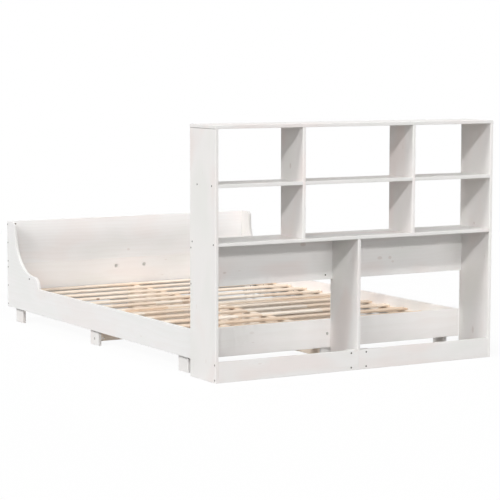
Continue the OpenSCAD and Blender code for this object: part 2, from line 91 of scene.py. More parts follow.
class Graph:
    """A node tree with short calls for adding nodes and joining them."""

    def __init__(self, tree: bpy.types.NodeTree) -> None:
        """Wraps the tree, and empties it."""
        self.tree = tree
        tree.nodes.clear()

    def add(self, kind: str, settings: dict | None = None, **inputs: object) -> bpy.types.Node:
        """Adds a node.

        Args:
            kind: The node's type, without its leading ShaderNode.
            settings: Properties of the node, such as its operation.
            inputs: Socket names with blanks as underscores, each with a value or the socket that feeds it.

        Returns:
            The new node.
        """
        node = self.tree.nodes.new("ShaderNode" + kind)
        for name, value in (settings or {}).items():
            setattr(node, name, value)
        for name, value in inputs.items():
            self.feed(node.inputs[name.replace("_", " ")], value)
        return node

    def feed(self, socket: bpy.types.NodeSocket, value: object) -> None:
        """Joins value to the socket where it is a socket itself, and otherwise sets it there."""
        if isinstance(value, bpy.types.NodeSocket):
            self.tree.links.new(value, socket)
        else:
            socket.default_value = value

    def math(self, operation: str, *values: object, clamp: bool = False) -> bpy.types.NodeSocket:
        """Adds a Math node.

        Args:
            operation: The Math node's operation.
            values: Its numbers or the sockets that feed them, in order.
            clamp: Whether the result stays between 0 and 1.

        Returns:
            The result's socket.
        """
        node = self.add("Math", {"operation": operation, "use_clamp": clamp})
        for socket, value in zip(node.inputs, values):
            self.feed(socket, value)
        return node.outputs[0]

    def remap(self, value: object, low: float, high: float, to_low: float = 0.0, to_high: float = 1.0,
              smooth: bool = True) -> bpy.types.NodeSocket:
        """Maps value from one range to another, held at its ends.

        Args:
            value: The socket that is mapped.
            low: Value that becomes to_low.
            high: Value that becomes to_high.
            to_low: Result at low.
            to_high: Result at high.
            smooth: Whether the change eases in and out.

        Returns:
            The result's socket.
        """
        settings = {"interpolation_type": "SMOOTHSTEP" if smooth else "LINEAR"}
        node = self.add("MapRange", settings)
        for name, number in (("Value", value), ("From Min", low), ("From Max", high),
                             ("To Min", to_low), ("To Max", to_high)):
            self.feed(node.inputs[name], number)
        return node.outputs["Result"]

    def blend(self, share: object, first: object, second: object) -> bpy.types.NodeSocket:
        """Mixes two colours.

        Args:
            share: How much of the second colour there is.
            first: The first colour.
            second: The second colour.

        Returns:
            The mixed colour's socket.
        """
        node = self.add("Mix", {"data_type": "RGBA", "blend_type": "MIX"})
        for index, value in zip(MIX_INPUTS, (share, first, second)):
            self.feed(node.inputs[index], value)
        return node.outputs[MIX_RESULT]

    def stretch(self, vector: bpy.types.NodeSocket, scale: Place, shift: object = (0.0, 0.0, 0.0),
                ) -> bpy.types.NodeSocket:
        """Scales a vector along its axes and moves it.

        Args:
            vector: The vector's socket.
            scale: Factor for each axis.
            shift: What is added after the scaling.

        Returns:
            The changed vector's socket.
        """
        node = self.add("VectorMath", {"operation": "MULTIPLY_ADD"})
        for socket, value in zip(node.inputs, (vector, scale, shift)):
            self.feed(socket, value)
        return node.outputs[0]


def new_group(name: str, inputs: list[tuple[str, str, object]], outputs: list[tuple[str, str]]) -> Graph:
    """Starts a shader node group with named sockets.

    Args:
        name: The group's name.
        inputs: Name, socket type and default value of each input.
        outputs: Name and socket type of each output.

    Returns:
        The group's graph, with a Group Input and a Group Output node.
    """
    tree = bpy.data.node_groups.new(name, "ShaderNodeTree")
    for title, kind, default in inputs:
        socket = tree.interface.new_socket(title, in_out="INPUT", socket_type=kind)
        socket.default_value = default
    for title, kind in outputs:
        tree.interface.new_socket(title, in_out="OUTPUT", socket_type=kind)
    graph = Graph(tree)
    tree.nodes.new("NodeGroupInput")
    tree.nodes.new("NodeGroupOutput")
    return graph


def group_ends(graph: Graph) -> tuple[bpy.types.Node, bpy.types.Node]:
    """Returns the input node and the output node of a group's graph."""
    kinds = {node.bl_idname: node for node in graph.tree.nodes}
    return kinds["NodeGroupInput"], kinds["NodeGroupOutput"]


NOISE_MIDDLE = 0.5


@dataclass(frozen=True)
class GrainNoise:
    """A soft noise stretched along the grain, with its scale in waves per metre on each of a board's axes."""

    scale: Place
    detail: float = 1.0
    roughness: float = 0.5

    def value(self, graph: Graph, place: bpy.types.NodeSocket) -> bpy.types.NodeSocket:
        """Adds the noise.

        Args:
            graph: The graph that it is added to.
            place: The socket of the place as grain, width and thickness.

        Returns:
            The socket of its value, which is mostly near the middle of 0 and 1.
        """
        node = graph.add("TexNoise", Vector=graph.stretch(place, self.scale), Scale=1.0, Detail=self.detail,
                         Roughness=self.roughness)
        return node.outputs[0]

    def swing(self, graph: Graph, place: bpy.types.NodeSocket) -> bpy.types.NodeSocket:
        """Adds the noise, and returns the socket of its swing to both sides of zero."""
        return graph.math("SUBTRACT", self.value(graph, place), NOISE_MIDDLE)


@dataclass(frozen=True)
class PineFigure:
    """The figure of a sawn pine board: growth rings, fibres, knots and soft patches.

    Lengths are in metres, late_from to late_end in shares of a ring, knot_least and knot_most in shares of
    a knot's cell, and knot_core, bend_from and bend_full in sizes of the knot. knotless is the share of
    cells without a knot. The group takes a place as grain, width and thickness, and gives four masks.
    """

    board_shift: Place = (1.7, 0.37, 0.91)
    fibre: GrainNoise = GrainNoise((9.0, 420.0, 420.0), 3.0, 0.65)
    patch: GrainNoise = GrainNoise((3.0, 6.5, 6.5))
    wander: GrainNoise = GrainNoise((0.9, 3.0, 3.0))
    wander_w: float = 0.12
    ripple: GrainNoise = GrainNoise((3.5, 26.0, 26.0), 2.0)
    ripple_w: float = 0.012
    ring_w: float = 0.0075
    pith_off: float = 0.055
    late_from: float = 0.15
    late_full: float = 0.9
    late_end: float = 0.93
    knot_step_l: float = 0.26
    knot_step_w: float = 0.085
    knotless: float = 0.62
    knot_least: float = 0.0153
    knot_most: float = 0.0544
    knot_core: float = 0.55
    bend_w: float = 0.016
    bend_from: float = 7.0
    bend_full: float = 0.6

    def group(self) -> bpy.types.NodeTree:
        """Builds the shader group, once.

        Returns:
            The group, with the outputs Rings, Fibre, Knot and Patch.
        """
        name = "pine_figure"
        if name in bpy.data.node_groups:
            return bpy.data.node_groups[name]
        graph = new_group(
            name,
            [("Place", "NodeSocketVector", (0.0, 0.0, 0.0)), ("Board", "NodeSocketFloat", 0.0)],
            [(title, "NodeSocketFloat") for title in ("Rings", "Fibre", "Knot", "Patch")],
        )
        source, result = group_ends(graph)
        place = source.outputs["Place"]
        shift = graph.add("CombineXYZ")
        for socket, step in zip(shift.inputs, self.board_shift):
            graph.feed(socket, graph.math("MULTIPLY", source.outputs["Board"], step))
        moved = graph.stretch(place, (1.0, 1.0, 1.0), shift.outputs[0])
        knot, near_knot = self._knots(graph, moved)
        graph.feed(result.inputs["Rings"], self._rings(graph, place, moved, near_knot))
        graph.feed(result.inputs["Fibre"], self.fibre.value(graph, moved))
        graph.feed(result.inputs["Knot"], knot)
        graph.feed(result.inputs["Patch"], self.patch.value(graph, moved))
        return graph.tree

    def _knots(self, graph: Graph, moved: bpy.types.NodeSocket) -> tuple[bpy.types.NodeSocket, ...]:
        """Scatters knots, some of them missing.

        Args:
            graph: The group's graph.
            moved: The socket of the place, moved on for each board.

        Returns:
            The sockets of the knots' mask, and of how much they bend the rings round them.
        """
        cells = graph.stretch(moved, (1 / self.knot_step_l, 1 / self.knot_step_w, 0.0))
        spots = graph.add("TexVoronoi", {"voronoi_dimensions": "2D"}, Vector=cells, Scale=1.0)
        chance = graph.add("SeparateColor", Color=spots.outputs["Color"])
        there = graph.math("GREATER_THAN", chance.outputs["Red"], self.knotless)
        size = graph.remap(chance.outputs["Green"], 0.0, 1.0, self.knot_least, self.knot_most)
        reach = graph.math("DIVIDE", spots.outputs["Distance"], size)
        mask = graph.math("MULTIPLY", graph.remap(reach, 1.0, self.knot_core), there)
        bend = graph.math("MULTIPLY", graph.remap(reach, self.bend_from, self.bend_full), there)
        return mask, bend

    def _rings(self, graph: Graph, place: bpy.types.NodeSocket, moved: bpy.types.NodeSocket,
               near_knot: bpy.types.NodeSocket) -> bpy.types.NodeSocket:
        """Lays growth rings round a wandering pith.

        Args:
            graph: The group's graph.
            place: The socket of the place on the board.
            moved: The same place, moved on for each board.
            near_knot: How much a knot bends the rings there.

        Returns:
            The socket of the mask of their dark latewood.
        """
        axes = graph.add("SeparateXYZ", Vector=place)
        across = graph.math("MULTIPLY_ADD", self.wander.swing(graph, moved), self.wander_w, axes.outputs["Y"])
        depth = graph.math("ADD", axes.outputs["Z"], self.pith_off)
        radius = graph.math("SQRT", graph.math("ADD", graph.math("MULTIPLY", across, across),
                                               graph.math("MULTIPLY", depth, depth)))
        radius = graph.math("MULTIPLY_ADD", self.ripple.swing(graph, moved), self.ripple_w, radius)
        radius = graph.math("MULTIPLY_ADD", near_knot, self.bend_w, radius)
        turn = graph.math("FRACT", graph.math("DIVIDE", radius, self.ring_w))
        rise = graph.remap(turn, self.late_from, self.late_full)
        fall = graph.remap(turn, 1.0, self.late_end)
        return graph.math("MULTIPLY", rise, fall)


FAINT_KNOT = display_colour(203, 190, 183)
DEAD_KNOT = display_colour(112, 104, 98)
# JOINT_SHADE is painted shade: the dark line in the groove where the top board meets a side panel.
JOINT_SHADE = display_colour(120, 116, 112)
# RECESS_SHADE is painted shade inside the bolt recesses.
RECESS_SHADE = display_colour(196, 193, 190)
# WING_SHADE is painted shade on the inner side of the right wing.
WING_SHADE = display_colour(219, 217, 215)

SPOT_CORE = 0.45


@dataclass(frozen=True)
class Spot:
    """A spot of another tone at one place: a knot, or painted shade, as in a joint's groove, a bolt's recess
    or on the right wing.

    Its place and its half sizes are in metres, on the object's axes.
    """

    at: Place
    size: Place
    depth: float
    tone: Colour

    def mask(self, graph: Graph) -> bpy.types.NodeSocket:
        """Adds the spot to a material.

        Args:
            graph: The material's graph.

        Returns:
            The socket of a mask that is depth at the spot and 0 away from it.
        """
        node = graph.tree.nodes.new("ShaderNodeGroup")
        node.node_tree = self._group()
        coordinates = graph.add("TexCoord")
        graph.feed(node.inputs["Place"], coordinates.outputs["Object"])
        node.inputs["Centre"].default_value = self.at
        node.inputs["Size"].default_value = self.size
        return graph.math("MULTIPLY", node.outputs["Mask"], self.depth)

    @staticmethod
    def _group() -> bpy.types.NodeTree:
        """Builds the shader group of a single soft spot, once.

        Returns:
            The group, with the output Mask.
        """
        name = "single_spot"
        if name in bpy.data.node_groups:
            return bpy.data.node_groups[name]
        graph = new_group(
            name,
            [("Place", "NodeSocketVector", (0.0, 0.0, 0.0)), ("Centre", "NodeSocketVector", (0.0, 0.0, 0.0)),
             ("Size", "NodeSocketVector", (0.01, 0.01, 0.01))],
            [("Mask", "NodeSocketFloat")],
        )
        source, result = group_ends(graph)
        away = graph.add("VectorMath", {"operation": "SUBTRACT"})
        graph.feed(away.inputs[0], source.outputs["Place"])
        graph.feed(away.inputs[1], source.outputs["Centre"])
        shares = graph.add("VectorMath", {"operation": "DIVIDE"})
        graph.feed(shares.inputs[0], away.outputs[0])
        graph.feed(shares.inputs[1], source.outputs["Size"])
        reach = graph.add("VectorMath", {"operation": "LENGTH"}, Vector=shares.outputs[0])
        graph.feed(result.inputs["Mask"], graph.remap(reach.outputs["Value"], 1.0, SPOT_CORE))
        return graph.tree


class Side(Enum):
    """Where a mark lies on a board: the axis through the board there, and how far through it the mark is."""

    LEFT = ("X", 0.0)
    EDGE = ("X", 0.5)
    RIGHT = ("X", 1.0)
    NEAR = ("Y", 0.0)


@dataclass(frozen=True)
class Mark:
    """A mark on one side of a board, with lengths in metres and half sizes.

    run is its place along the board from the object's middle, and height its place over the floor.
    """

    side: Side
    run: float
    height: float
    half_l: float
    half_h: float
    depth: float
    tone: Colour = FAINT_KNOT
    half_t: float = 0.02

    def spot(self, node: str) -> Spot:
        """Puts the mark on a board.

        Args:
            node: The CAD board that it lies on.

        Returns:
            The spot, on the object's axes.
        """
        axis, share = self.side.value
        low, high = (corner["XY".index(axis)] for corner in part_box(node))
        through = low + (high - low) * share
        if axis == "X":
            at = (through, self.run, self.height)
            size = (self.half_t, self.half_l, self.half_h)
        else:
            at = (self.run, through, self.height)
            size = (self.half_l, self.half_t, self.half_h)
        return Spot(at, size, self.depth, self.tone)


def board_place(graph: Graph, lie: Lie) -> bpy.types.NodeSocket:
    """Turns Object coordinates to grain, width and thickness.

    Args:
        graph: The material's graph.
        lie: How the board lies.

    Returns:
        The socket of the turned place, in metres.
    """
    coordinates = graph.add("TexCoord")
    axes = graph.add("SeparateXYZ", Vector=coordinates.outputs["Object"])
    grain, width, thickness = (axes.outputs[name] for name in lie.value)
    return graph.add("CombineXYZ", X=grain, Y=width, Z=thickness).outputs[0]


def add_figure(graph: Graph, place: bpy.types.NodeSocket, board: object) -> bpy.types.Node:
    """Places the pine figure's group in a material.

    Args:
        graph: The material's graph.
        place: The socket of the place as grain, width and thickness.
        board: Number that gives each board its own figure, or the socket of it.

    Returns:
        The group's node.
    """
    node = graph.tree.nodes.new("ShaderNodeGroup")
    node.node_tree = PineFigure().group()
    graph.feed(node.inputs["Place"], place)
    graph.feed(node.inputs["Board"], board)
    return node


def new_material(name: str) -> tuple[bpy.types.Material, Graph, bpy.types.Node]:
    """Starts a material with one Principled shader.

    Args:
        name: The material's name.

    Returns:
        The material, its graph and the shader's node.
    """
    material = bpy.data.materials.new(name)
    material.use_nodes = True
    graph = Graph(material.node_tree)
    shader = graph.add("BsdfPrincipled")
    graph.add("OutputMaterial", Surface=shader.outputs["BSDF"])
    return material, graph, shader


@dataclass(frozen=True)
class Grain:
    """How strongly the pine's figure shows in a finish, in its colour and its relief. Relief is in metres."""

    rings: float
    fibre: float
    fibre_span: tuple[float, float]
    knots: float
    rough: tuple[float, float]
    ring_dip: float
    bump: float
    relief: float
    rough_span: tuple[float, float] = (0.3, 0.8)

    def tint(self, graph: Graph, figure: bpy.types.Node, colour: object, ring: Colour,
             knot: Colour) -> bpy.types.NodeSocket:
        """Lays the rings, the fibres and the scattered knots over a colour.

        Args:
            graph: The material's graph.
            figure: The pine figure's node.
            colour: The colour underneath.
            ring: Colour of the latewood and the fibres.
            knot: Colour of the knots.

        Returns:
            The tinted colour's socket.
        """
        tinted = graph.blend(graph.math("MULTIPLY", figure.outputs["Rings"], self.rings), colour, ring)
        fibre = graph.remap(figure.outputs["Fibre"], *self.fibre_span, 0.0, self.fibre)
        tinted = graph.blend(fibre, tinted, ring)
        return graph.blend(graph.math("MULTIPLY", figure.outputs["Knot"], self.knots), tinted, knot)

    def surface(self, graph: Graph, figure: bpy.types.Node, shader: bpy.types.Node) -> None:
        """Gives a shader its roughness and its relief.

        Args:
            graph: The material's graph.
            figure: The pine figure's node.
            shader: The shader that they feed.
        """
        fibre = figure.outputs["Fibre"]
        graph.feed(shader.inputs["Roughness"], graph.remap(fibre, *self.rough_span, *self.rough))
        height = graph.math("MULTIPLY_ADD", figure.outputs["Rings"], self.ring_dip, fibre)
        bump = graph.add("Bump", Strength=self.bump, Distance=self.relief, Height=height)
        graph.feed(shader.inputs["Normal"], bump.outputs[0])


PAINT_WHITE = display_colour(235, 233, 231)
# These two lighter whites are copies of the paint made lighter: painted light on the boards that the lamps
# leave too dark.
PAINTED_LIGHT_WHITE = display_colour(243, 240, 238)
PAINTED_LIGHT_COOL_WHITE = display_colour(245, 244, 244)
RAIL_WHITE = display_colour(235, 234, 233)


@dataclass(frozen=True)
class PaintedPine:
    """Thin satin white paint over pine, through which the wood still shows a little."""

    lie: Lie
    board: int
    spots: tuple[Spot, ...] = ()
    white: Colour = PAINT_WHITE
    pinker: Colour = (0.995, 0.95, 0.94, 1.0)
    greyer: Colour = (0.965, 0.98, 0.968, 1.0)
    patch_reach: float = 0.18
    knot: Colour = display_colour(196, 178, 168)
    ring: Colour = display_colour(219, 211, 204)
    grain: Grain = Grain(rings=0.07, fibre=0.06, fibre_span=(0.35, 0.75), knots=0.2, rough=(0.5, 0.62),
                         ring_dip=-0.5, bump=0.25, relief=0.0002)

    def material(self, name: str) -> bpy.types.Material:
        """Builds the finish.

        Args:
            name: Name of the painted piece.

        Returns:
            A material whose figure belongs to that piece alone.
        """
        material, graph, shader = new_material("paint_" + name)
        figure = add_figure(graph, board_place(graph, self.lie), float(self.board))
        patch = figure.outputs["Patch"]
        pink, grey = (tuple(white * share for white, share in zip(self.white, tint))
                      for tint in (self.pinker, self.greyer))
        pinkness = graph.remap(patch, NOISE_MIDDLE, NOISE_MIDDLE + self.patch_reach)
        greyness = graph.remap(patch, NOISE_MIDDLE, NOISE_MIDDLE - self.patch_reach)
        colour = graph.blend(greyness, graph.blend(pinkness, self.white, pink), grey)
        colour = self.grain.tint(graph, figure, colour, self.ring, self.knot)
        # Besides knots, the spots paint shade: in joint grooves, in bolt recesses and on the right wing.
        for single in self.spots:
            colour = graph.blend(single.mask(graph), colour, single.tone)
        graph.feed(shader.inputs["Base Color"], colour)
        self.grain.surface(graph, figure, shader)
        return material


@dataclass(frozen=True)
class BarePine:
    """Planed pine glued up from short lengths with finger joints.

    Each joint has its place along the board, and how tan the length behind it is, from 0 to 1.
    """

    lie: Lie
    board: int
    first_tan: float = 0.2
    joints: Joints = (
        (-0.52, 0.85), (-0.29, 0.2), (-0.15, 0.9), (-0.01, 0.15), (0.33, 0.75), (0.61, 0.45))
    joint_play: float = 0.025
    tan_play: float = 0.2
    patch_share: float = 0.5
    pale: Colour = display_colour(253, 243, 230)
    tan: Colour = display_colour(238, 214, 190)
    latewood: Colour = display_colour(216, 180, 144)
    knot: Colour = display_colour(160, 108, 70)
    finger_l: float = 0.010
    finger_w: float = 0.004
    grain: Grain = Grain(rings=0.2, fibre=0.15, fibre_span=(0.4, 0.8), knots=0.7, rough=(0.55, 0.7),
                         ring_dip=-0.6, bump=0.4, relief=0.0003)

    def material(self, name: str) -> bpy.types.Material:
        """Builds the finish.

        Args:
            name: Name of the piece.

        Returns:
            A material whose figure and lengths belong to that piece alone.
        """
        material, graph, shader = new_material("pine_" + name)
        place = board_place(graph, self.lie)
        length_tan, length_seed = self._lengths(graph, place)
        figure = add_figure(graph, place, graph.math("ADD", length_seed, float(self.board)))
        patch = graph.math("SUBTRACT", figure.outputs["Patch"], NOISE_MIDDLE)
        share = graph.math("MULTIPLY_ADD", patch, self.patch_share, length_tan, clamp=True)
        colour = graph.blend(share, self.pale, self.tan)
        colour = self.grain.tint(graph, figure, colour, self.latewood, self.knot)
        graph.feed(shader.inputs["Base Color"], colour)
        self.grain.surface(graph, figure, shader)
        return material

    def _lengths(self, graph: Graph, place: bpy.types.NodeSocket) -> tuple[bpy.types.NodeSocket, ...]:
        """Cuts the board into its glued lengths.

        Args:
            graph: The material's graph.
            place: The socket of the place as grain, width and thickness.

        Returns:
            The sockets of how tan each length is, and of its number along the board.
        """
        draw = random.Random(self.board)
        axes = graph.add("SeparateXYZ", Vector=place)
        tooth = graph.math("PINGPONG", axes.outputs["Y"], self.finger_w / 2)
        along = graph.math("MULTIPLY_ADD", tooth, 2 * self.finger_l / self.finger_w, axes.outputs["X"])
        share = self.first_tan
        tan, seed = share, 0.0
        for joint, behind in self.joints:
            start = joint + draw.uniform(-self.joint_play, self.joint_play)
            wanted = behind + draw.uniform(-self.tan_play, self.tan_play)
            past = graph.math("GREATER_THAN", along, start)
            tan = graph.math("MULTIPLY_ADD", past, wanted - share, tan)
            seed = graph.math("ADD", past, seed)
            share = wanted
        return tan, seed


@dataclass(frozen=True)
class PlatedSteel:
    """Plated steel of the screws, bolts and nuts. Its scales are in waves per metre."""

    plating: Colour
    stain: Colour
    metallic: float = 0.85
    cloud_scale: float = 220.0
    cloud_detail: float = 3.0
    cloud_span: tuple[float, float] = (0.35, 0.7)
    grit_scale: float = 1800.0
    grit_detail: float = 2.0
    grit_span: tuple[float, float] = (0.3, 0.7)
    rough: tuple[float, float] = (0.38, 0.55)
    bump: float = 0.2
    relief: float = 0.0001

    def material(self, name: str) -> bpy.types.Material:
        """Builds the finish.

        Args:
            name: Name of the group of fasteners.

        Returns:
            The material.
        """
        material, graph, shader = new_material("steel_" + name)
        place = graph.add("TexCoord").outputs["Object"]
        cloud = graph.add("TexNoise", Vector=place, Scale=self.cloud_scale, Detail=self.cloud_detail)
        grit = graph.add("TexNoise", Vector=place, Scale=self.grit_scale, Detail=self.grit_detail)
        stained = graph.remap(cloud.outputs[0], *self.cloud_span)
        graph.feed(shader.inputs["Base Color"], graph.blend(stained, self.plating, self.stain))
        graph.feed(shader.inputs["Roughness"], graph.remap(grit.outputs[0], *self.grit_span, *self.rough))
        shader.inputs["Metallic"].default_value = self.metallic
        bump = graph.add("Bump", Strength=self.bump, Distance=self.relief, Height=grit.outputs[0])
        graph.feed(shader.inputs["Normal"], bump.outputs[0])
        return material


DARK_STEEL = PlatedSteel(display_colour(120, 117, 113), display_colour(84, 81, 78))
BRIGHT_ZINC = PlatedSteel(display_colour(214, 213, 209), display_colour(172, 170, 165))

Finish = PaintedPine | BarePine | PlatedSteel


def dress(piece: bpy.types.Object, finish: Finish) -> None:
    """Gives a piece its finish.

    Args:
        piece: A CAD node's object, or a piece that is modelled here.
        finish: The finish, whose material is made for this piece.
    """
    mesh = piece.data
    mesh.materials.clear()
    mesh.materials.append(finish.material(piece.name))
    LOG.info("dressed %s", piece.name)


@dataclass(frozen=True)
class EasedEdges:
    """Rounds the sharp outline of a board, and leaves its holes as they are.

    Each side of the board first gets a narrow margin, so that its flat middle keeps its own shading.
    Lengths are in metres and angles in degrees.
    """

    radius: float = 0.0012
    margin: float = 0.0016
    segments: int = 3
    weld: float = 1e-6
    sliver: float = 1e-5
    flat_angle: float = 0.5
    sharp_angle: float = 30.0

    def copy_of(self, node: str, name: str, slot: str) -> bpy.types.Object:
        """Models the eased board.

        Args:
            node: The CAD board that the piece stands for.
            name: The new piece's name.
            slot: The record's material slot of the piece. Not used.

        Returns:
            The piece, riding with the object in the CAD board's place.
        """
        shape = bmesh.new()
        shape.from_mesh(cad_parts[node].data)
        bmesh.ops.remove_doubles(shape, verts=shape.verts, dist=self.weld)
        bmesh.ops.dissolve_limit(shape, angle_limit=math.radians(self.flat_angle), verts=shape.verts,
                                 edges=shape.edges)
        for side in self._sides(shape):
            bmesh.ops.inset_region(shape, faces=side, thickness=self.margin, use_even_offset=True)
        bmesh.ops.bevel(shape, geom=self._outline(shape), offset=self.radius, offset_type="OFFSET",
                        segments=self.segments, profile=0.5, affect="EDGES", material=-1, clamp_overlap=True)
        bmesh.ops.dissolve_degenerate(shape, edges=shape.edges, dist=self.sliver)
        bmesh.ops.recalc_face_normals(shape, faces=shape.faces)
        mesh = bpy.data.meshes.new(name)
        shape.to_mesh(mesh)
        shape.free()
        mesh.shade_smooth()
        mesh.set_sharp_from_angle(angle=math.radians(self.sharp_angle))
        piece = bpy.data.objects.new(name, mesh)
        bpy.context.scene.collection.objects.link(piece)
        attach(piece, "root")
        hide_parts(node)
        LOG.info("modelled %s", name)
        return piece

    def _is_sharp(self, edge: bmesh.types.BMEdge) -> bool:
        """Returns whether two faces meet at the edge at more than the sharp angle."""
        return len(edge.link_faces) == 2 and edge.calc_face_angle() > math.radians(self.sharp_angle)

    def _sides(self, shape: bmesh.types.BMesh) -> list[list[bmesh.types.BMFace]]:
        """Sorts the faces by the side of the board that they lie on.

        Args:
            shape: The board.

        Returns:
            The faces of each side. The walls of holes are no sides.
        """
        outline = set(self._outline(shape))
        left = dict.fromkeys(shape.faces)
        sides = []
        while left:
            side = []
            waiting = [next(iter(left))]
            while waiting:
                face = waiting.pop()
                if face not in left:
                    continue
                del left[face]
                side.append(face)
                waiting.extend(other for edge in face.edges if not self._is_sharp(edge)
                               for other in edge.link_faces)
            if any(edge in outline for face in side for edge in face.edges):
                sides.append(side)
        return sides

    def _outline(self, shape: bmesh.types.BMesh) -> list[bmesh.types.BMEdge]:
        """Follows the board's sharp edges from its outermost corner.

        Args:
            shape: The board.

        Returns:
            The sharp edges that hang together with that corner, and so no edge of a hole.
        """
        sharp = {edge for edge in shape.edges if self._is_sharp(edge)}
        waiting = [min(sharp, key=lambda edge: min(sum(vert.co) for vert in edge.verts))]
        found = set()
        while waiting:
            edge = waiting.pop()
            if edge in found:
                continue
            found.add(edge)
            waiting.extend(other for vert in edge.verts for other in vert.link_edges if other in sharp)
        return [edge for edge in shape.edges if edge in found]


@dataclass
class PaintedBoards:
    """Painted boards with eased edges.

    A group is some boards that lie alike, and how they lie. Boards that whites leaves out are PAINT_WHITE.
    """

    groups: tuple[tuple[tuple[str, ...], Lie], ...] = ()
    first_board: int = 1
    marks: dict[str, tuple[Mark, ...]] = field(default_factory=dict)
    whites: dict[str, Colour] = field(default_factory=dict)
    pinker: Colour = PaintedPine.pinker
    greyer: Colour = PaintedPine.greyer
    edges: EasedEdges = EasedEdges()
    pieces: dict[str, bpy.types.Object] = field(default_factory=dict)

    def build(self) -> None:
        """Models every board over the frame's sharp-edged one."""
        for names, _ in self.groups:
            for name in names:
                self.pieces[name] = self.edges.copy_of(name, f"eased_{name}", "white_painted_pine")

    def dress(self) -> None:
        """Paints every board, each with its own figure."""
        board = self.first_board
        for names, lie in self.groups:
            for name in names:
                spots = tuple(mark.spot(name) for mark in self.marks.get(name, ()))
                white = self.whites.get(name, PAINT_WHITE)
                dress(self.pieces[name], PaintedPine(lie, board, spots, white, self.pinker, self.greyer))
                board += 1


def top_joint_shade(side: Side) -> Mark:
    """Paints the shade in the groove between the top board and a side panel.

    Args:
        side: The side of the bookcase.

    Returns:
        The mark, as long as the bookcase is deep and a little more.
    """
    low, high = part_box("top_board")
    return Mark(side, run=(low.y + high.y) / 2, height=low.z, half_l=0.3, half_h=0.0018, depth=0.75,
                tone=JOINT_SHADE, half_t=0.0035)


@dataclass
class Bookcase(PaintedBoards):
    """The open bookcase across one end of the bed."""

    groups: tuple[tuple[tuple[str, ...], Lie], ...] = (
        (("side_panel_left", "side_panel_right", "divider_left", "divider_right", "centre_divider"),
         Lie.UPRIGHT_FACING_SIDE),
        (("top_board", "middle_shelf", "low_shelf"), Lie.FLAT_ACROSS),
        (("back_board_left", "back_board_right", "kick_board_left", "kick_board_right"),
         Lie.ON_EDGE_ACROSS),
        (("back_board_plate", "kick_board_plate"), Lie.UPRIGHT_FACING_END),
    )
    marks: dict[str, tuple[Mark, ...]] = field(default_factory=lambda: {
        "back_board_left": (
            Mark(Side.NEAR, -0.569, 0.446, 0.011, 0.006, 0.55),
            Mark(Side.NEAR, -0.164, 0.551, 0.020, 0.011, 0.60),
        ),
        "back_board_right": (
            Mark(Side.NEAR, 0.252, 0.469, 0.018, 0.010, 0.45),
            Mark(Side.NEAR, 0.308, 0.468, 0.012, 0.010, 0.45),
            Mark(Side.NEAR, 0.324, 0.449, 0.010, 0.007, 0.35),
        ),
        "top_board": (top_joint_shade(Side.LEFT), top_joint_shade(Side.RIGHT)),
        "side_panel_left": (top_joint_shade(Side.LEFT),),
        "divider_left": (Mark(Side.LEFT, -1.038, 0.913, 0.009, 0.016, 0.45),),
        "side_panel_right": (
            top_joint_shade(Side.RIGHT),
            Mark(Side.LEFT, -1.028, 0.115, 0.010, 0.022, 0.40),
            Mark(Side.LEFT, -1.027, 0.617, 0.008, 0.009, 0.40),
        ),
    })
    # Painted light: the dividers and the right panel get a lighter copy of the paint.
    whites: dict[str, Colour] = field(default_factory=lambda: dict.fromkeys(
        ("divider_left", "divider_right", "side_panel_right"), PAINTED_LIGHT_WHITE))


# Painted shade on the walls and floor of the two bolt recesses in the lower end board.
BOLT_RECESS_SHADE = tuple(
    Mark(Side.NEAR, run, 0.254, 0.0135, 0.0135, 0.85, RECESS_SHADE) for run in (-0.085, 0.085))


@dataclass
class BedSides(PaintedBoards):
    """The painted side rails with their wings, the end boards and the legs.

    The right wing's inner side gets painted shade, a darker paint that tones down the strong light which the
    white boards round it throw on it.
    """

    groups: tuple[tuple[tuple[str, ...], Lie], ...] = (
        (("side_rail_left", "side_rail_right"), Lie.ON_EDGE_ALONG),
        (("near_end_rail", "end_board_lower", "end_board_upper"), Lie.ON_EDGE_ACROSS),
        (tuple(f"leg_{place}_{side}" for place in ("near", "middle", "far") for side in ("left", "right")),
         Lie.UPRIGHT_FACING_SIDE),
        (("leg_near_centre", "leg_far_centre"), Lie.UPRIGHT_FACING_END),
    )
    first_board: int = 21
    marks: dict[str, tuple[Mark, ...]] = field(default_factory=lambda: {
        "side_rail_left": (
            Mark(Side.EDGE, 1.033, 0.518, 0.012, 0.0075, 1.0, DEAD_KNOT, half_t=0.0065),
            Mark(Side.LEFT, 0.845, 0.245, 0.010, 0.006, 0.9, DEAD_KNOT),
        ),
        # Painted shade on the inner side of the right wing.
        "side_rail_right": (Mark(Side.LEFT, 1.05, 0.35, 0.8, 0.6, 1.0, WING_SHADE, half_t=0.04),),
        "end_board_lower": BOLT_RECESS_SHADE,
        "end_board_upper": (Mark(Side.NEAR, -0.011, 0.341, 0.012, 0.008, 0.30),),
        "near_end_rail": (Mark(Side.NEAR, -0.421, 0.168, 0.016, 0.008, 0.25),),
    })
    # Painted light: most of these boards get a lighter copy of the paint; the left rail's white differs only
    # in tint.
    whites: dict[str, Colour] = field(default_factory=lambda: {
        "side_rail_left": RAIL_WHITE, "side_rail_right": PAINTED_LIGHT_WHITE, "near_end_rail": PAINTED_LIGHT_WHITE,
        "end_board_lower": PAINTED_LIGHT_WHITE, "end_board_upper": PAINTED_LIGHT_COOL_WHITE})
    pinker: Colour = (0.997, 0.972, 0.965, 1.0)
    greyer: Colour = (0.975, 0.985, 0.978, 1.0)


